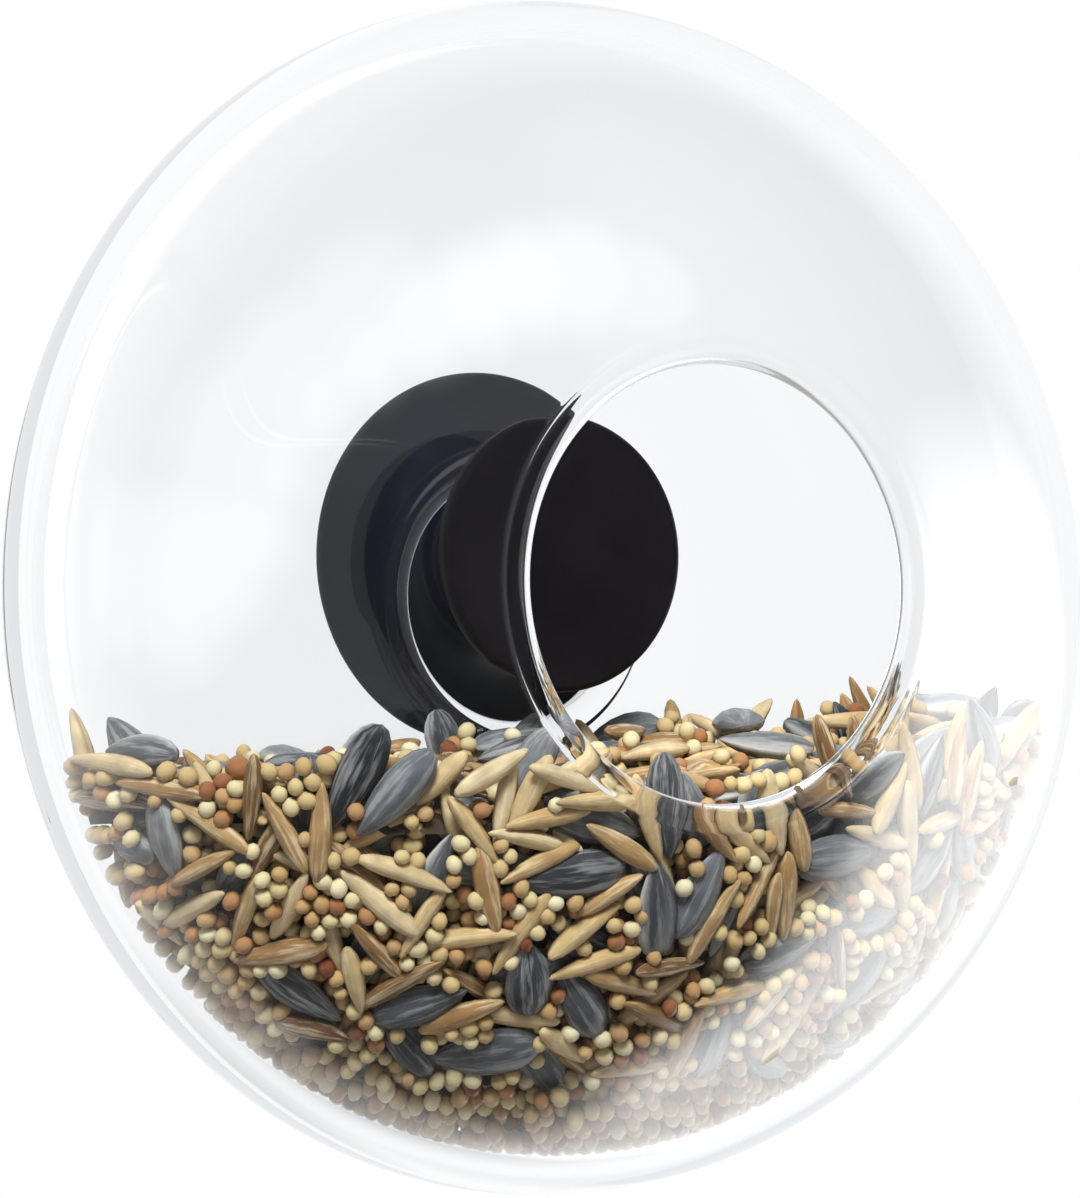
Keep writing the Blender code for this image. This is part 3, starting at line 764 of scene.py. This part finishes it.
bpy.data.objects.remove(seed)

# Oats in the husk are slim spindles with a crease along one side. The dry husk is golden with paler
# lengthwise lines, and on some grains the crease is painted dark brown as painted shade. They are loose and
# lie where they were packed.
OAT_FULLNESS = 0.56
OAT_TAPER = 0.22
OAT_CREASE = 0.26
CREASE_NARROWNESS = 6
OAT_BOW = 0.16
oat = new_grain("oat", 8, 8)
oat_crease_shade = oat.data.attributes.new("rim", "FLOAT", "POINT").data
for vertex in oat.data.vertices:
    along = 2 * vertex.co.x
    angle = math.atan2(vertex.co.z, vertex.co.y)
    radius = 0.5 * max(1 - along * along, 0.0) ** OAT_FULLNESS * (1 - OAT_TAPER * along)
    crease = max(math.sin(angle), 0.0) ** CREASE_NARROWNESS
    vertex.co.y = radius * math.cos(angle)
    vertex.co.z = radius * math.sin(angle) * (1 - OAT_CREASE * crease) - OAT_BOW * along * along
    # The crease mark is where the husk gets its painted shade.
    oat_crease_shade[vertex.index].value = crease
chaff = dry_husk(
    "golden_oat_husk",
    [(0.0, (0.11, 0.05, 0.018)), (1.0, (0.67, 0.53, 0.32)),
     (0.2, (0.38, 0.21, 0.08)), (0.6, (0.57, 0.39, 0.175))],
    around=11.0, line=(0.80, 0.66, 0.42), line_share=0.6,
    # On the oat the rim colour is painted shade along the crease.
    rim=(0.20, 0.09, 0.03), rim_reach=0.30, roughness=0.36)
oat_piece = pour_laid("oat_grains", "oat", oat, chaff)
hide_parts(*[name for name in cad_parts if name.startswith("oat_grain")])
bpy.data.objects.remove(oat)

# Millet is small hulled balls with a smooth, faintly shining skin, from cream to tan, and the bigger
# ones red-brown. It is loose too. The many grains are poured as three pieces, from left to right.
MILLET_PIECES = 3
MILLET_SHAPE = np.array([2.12, 2.0, 1.86])
RED_FROM = 1.35 * MILLET_RADIUS
RED_SHADE = 0.05
ball = new_grain("millet", 8, 6)
bead, tree = new_finish("millet_skin")
wire(tree, tree.nodes["Principled BSDF"], {
    "Base Color": ramp(tree, attribute(tree, "shade"), [
        (0.0, (0.16, 0.045, 0.02)), (1.0, (0.70, 0.62, 0.40)), (0.06, (0.36, 0.16, 0.065)),
        (0.3, (0.47, 0.30, 0.13)), (0.6, (0.56, 0.42, 0.20)), (0.85, (0.64, 0.53, 0.30))]),
    "Roughness": 0.34})
for k, part in enumerate(np.array_split(np.argsort(millet[:, 0]), MILLET_PIECES)):
    axes = np.array([lie(draw.normal(size=3), draw.uniform(0, math.tau), 0.0, 0.0) for _ in part])
    sizes = millet_radii[part][:, None] * MILLET_SHAPE
    shades = np.where(millet_radii[part] > RED_FROM, RED_SHADE, 1.0) * draw.random(len(part))
    pour(f"millet_{k + 1}", ball, axes * sizes[:, None, :], millet[part], shades, bead)
bpy.data.objects.remove(ball)

# The inside of the heap is seen only as darkness between the grains. It is the seed bed of the frame,
# drawn in by the depth of the grains that cover it, and painted a dark brown as painted shade for the gaps.
CORE_WELD = 0.01 * MM
CORE_STEP = 2.0 * MM
CORE_DRAWN_IN = 4.0 * MM
core = heap.copy()
core.data = heap.data.copy()
core.name = core.data.name = "heap_core"
core.parent = None
bpy.context.scene.collection.objects.link(core)
for key in list(core.keys()):
    del core[key]
bpy.ops.object.select_all(action="DESELECT")
bpy.context.view_layer.objects.active = core
core.select_set(True)
bpy.ops.object.mode_set(mode="EDIT")
bpy.ops.mesh.select_all(action="SELECT")
bpy.ops.mesh.remove_doubles(threshold=CORE_WELD)
bpy.ops.object.mode_set(mode="OBJECT")
remesh = core.modifiers.new("even", "REMESH")
remesh.mode = "VOXEL"
remesh.voxel_size = CORE_STEP
shrink = core.modifiers.new("shrink", "DISPLACE")
shrink.mid_level = 0.0
shrink.strength = -CORE_DRAWN_IN
for modifier in list(core.modifiers):
    bpy.ops.object.modifier_apply(modifier=modifier.name)
# Painted shade: the core's dark brown stands for the shadow between the grains.
gap_shade_paint, tree = new_finish("painted_gap_shade")
wire(tree, tree.nodes["Principled BSDF"], {"Base Color": (0.06, 0.042, 0.026, 1.0), "Roughness": 0.9})
core.data.materials.clear()
core.data.materials.append(gap_shade_paint)
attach(core, "globe")
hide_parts("seed_bed")

# The studio is a pale paper floor in white surroundings, with one soft area light from the upper left.
# The camera looks at the globe from the left of its front and from a little below.
SIGHT_TURN = -30.5
SIGHT_RISE = -2.5
SIGHT_DISTANCE = 0.9
LENS = 215.3
LENS_SHIFT_X, LENS_SHIFT_Y = -0.0048, -0.0020
NEAREST_SEEN = 0.05


def way_to(turn, rise):
    """The way to a spot at a turn from the front and a rise, in degrees."""
    turn, rise = math.radians(turn), math.radians(rise)
    return Vector((math.sin(turn) * math.cos(rise), -math.cos(turn) * math.cos(rise), math.sin(rise)))


target = Vector((0.0, WAIST_Y, GLOBE_AXIS_Z))
back = way_to(SIGHT_TURN, SIGHT_RISE)
camera = bpy.data.objects.new("camera", bpy.data.cameras.new("camera"))
bpy.context.scene.collection.objects.link(camera)
camera.location = target + back * SIGHT_DISTANCE
camera.rotation_euler = back.to_track_quat("Z", "Y").to_euler()
camera.data.lens = LENS
camera.data.shift_x = LENS_SHIFT_X
camera.data.shift_y = LENS_SHIFT_Y
camera.data.clip_start = NEAREST_SEEN
bpy.context.scene.camera = camera
bpy.context.scene.view_settings.view_transform = "Standard"

# The surroundings are white where they are seen straight. As lamps they are brighter from behind and
# from below, and the glass and the rubber mirror them with flags and panels in them, as in a studio.
FRAMING_FLAGS = ((0.0, 0.8), (1.0, 1.0), (0.16, 0.5), (0.26, 0.9), (0.42, 0.9), (0.54, 0.45),
                 (0.66, 0.95), (0.8, 0.95), (0.88, 0.55), (0.95, 1.0))
PANELS = ((-100, 4, 10, 1.5), (-80, 2, 8, 1.2), (-68, 3, 10, 1.5), (-56, 6, 8, 1.5),
          (-47, 9, 5, 1.5), (-44, 19, 5, 1.4), (-36, 29, 5, 1.4), (-25, 35, 5, 1.5),
          (-13, 40, 6, 1.6), (-2, 42, 6, 1.8), (8, 43, 6, 1.8), (18, 42, 6, 1.6),
          (28, 38, 5, 1.3), (-60, 24, 9, 1.0), (-48, 34, 9, 1.0), (-32, 45, 8, 0.9))
PANEL_CORE_SHARE = 0.3
PANEL_EDGE_SHARE = 2.2
VEIL_WAY = (0.588, 0.809, 0.0)
world = bpy.data.worlds.new("studio")
world.use_nodes = True
bpy.context.scene.world = world
tree = world.node_tree
way = tree.nodes.new("ShaderNodeTexCoord").outputs["Generated"]
split = add_node(tree, "ShaderNodeSeparateXYZ", {"Vector": way})
to_right, to_pane, upward = (split.outputs[name] for name in "XYZ")


def fade(low, high, of, value_low, value_high):
    """A soft change from one value to another in the studio."""
    return remap(tree, of, low, high, value_low, value_high, "SMOOTHSTEP")


def facing(spot):
    """How squarely a ray faces a spot: the cosine of the angle between them."""
    node = tree.nodes.new("ShaderNodeVectorMath")
    node.operation = "DOT_PRODUCT"
    return wire(tree, node, {0: way, 1: spot}).outputs["Value"]


def panel(turn, rise, core, edge, strength):
    """A round soft light at a turn and a rise whose strength fades from its core to its edge."""
    return fade(math.cos(math.radians(edge)), math.cos(math.radians(core)),
                facing(way_to(turn, rise)), 0.0, strength)


def either(chosen, otherwise, taken):
    """One value, or the other where a share is one."""
    return add_node(tree, "ShaderNodeMix", {"Factor": chosen, "A": otherwise, "B": taken}).outputs["Result"]


lamps = arithmetic(tree, "MAXIMUM", fade(-0.3, 0.4, to_pane, 0.3, 0.7), fade(-1.0, 0.2, upward, 1.2, 0.25))
flags = ramp(tree, fade(-1.0, 1.0, to_pane, 0.0, 1.0),
             [(position, (tone, tone, tone)) for position, tone in FRAMING_FLAGS])
guided = arithmetic(tree, "MULTIPLY", flags, fade(-0.7, 0.1, upward, 0.72, 1.0))
mirrored = arithmetic(tree, "MULTIPLY", fade(-0.3, 0.4, to_pane, 0.05, 1.0),
                      fade(-0.95, -0.5, upward, 0.2, 1.0))
room = arithmetic(tree, "MULTIPLY", fade(0.05, 0.4, to_right, 0.0, 0.4), fade(-0.45, -0.1, upward, 0.1, 1.0))
mirrored = arithmetic(tree, "MAXIMUM", mirrored, room)
for turn, rise, spread, strength in PANELS:
    mirrored = arithmetic(tree, "MAXIMUM", mirrored, panel(
        turn, rise, spread * PANEL_CORE_SHARE, spread * PANEL_EDGE_SHARE, strength))
veil = fade(0.02, 0.24, facing(VEIL_WAY), 0.0, 1.0)
for bound in (fade(-0.2, 0.45, upward, 1.0, 0.0), fade(-0.97, -0.85, upward, 0.0, 1.0),
              fade(0.5, 0.8, to_pane, 1.0, 0.0), fade(-0.3, 0.5, to_pane, 4.9, 1.3)):
    veil = arithmetic(tree, "MULTIPLY", veil, bound)
mirrored = arithmetic(tree, "MAXIMUM", mirrored, veil)

# What a ray gets depends on its way here: it lit the seed, or is seen straight, mirrored once, or
# after it was guided along the wall of the glass by more reflections.
path = add_node(tree, "ShaderNodeLightPath").outputs
seen = arithmetic(tree, "MAXIMUM", path["Is Camera Ray"], path["Is Glossy Ray"])
seen = arithmetic(tree, "MAXIMUM", seen, path["Is Transmission Ray"])
seen = arithmetic(tree, "MULTIPLY", seen, arithmetic(tree, "LESS_THAN", path["Diffuse Depth"], 0.5))
again = arithmetic(tree, "GREATER_THAN", path["Glossy Depth"], 1.5)
straight = arithmetic(tree, "LESS_THAN", path["Glossy Depth"], 0.5)
tone = either(straight, either(again, mirrored, guided), 1.0)
wire(tree, tree.nodes["Background"], {"Color": (1.0, 1.0, 1.0, 1.0), "Strength": either(seen, lamps, tone)})

key = bpy.data.objects.new("key", bpy.data.lights.new("key", "AREA"))
bpy.context.scene.collection.objects.link(key)
key.data.shape = "RECTANGLE"
key.data.size = 0.4
key.data.size_y = 0.3
key.data.energy = 23.0
key.data.color = (0.95, 0.98, 1.0)
key.visible_glossy = False
key.visible_transmission = False
key.location = (-0.45, -0.75, 0.75)
key.rotation_euler = (Vector(key.location) - target).to_track_quat("Z", "Y").to_euler()

FLOOR_SIZE = 12.0
FLOOR_Z = -0.45
bpy.ops.object.select_all(action="DESELECT")
bpy.ops.mesh.primitive_plane_add(size=FLOOR_SIZE, location=(0.0, 0.0, FLOOR_Z))
floor = bpy.context.object
floor.name = "studio_floor"
floor.visible_glossy = False
floor.visible_transmission = False
floor.visible_diffuse = False
paper, tree = new_finish("studio_paper")
wire(tree, tree.nodes["Principled BSDF"], {
    "Base Color": (0.85, 0.85, 0.85, 1.0), "Roughness": 0.8,
    "Emission Color": (1.0, 1.0, 1.0, 1.0), "Emission Strength": 0.3})
floor.data.materials.append(paper)
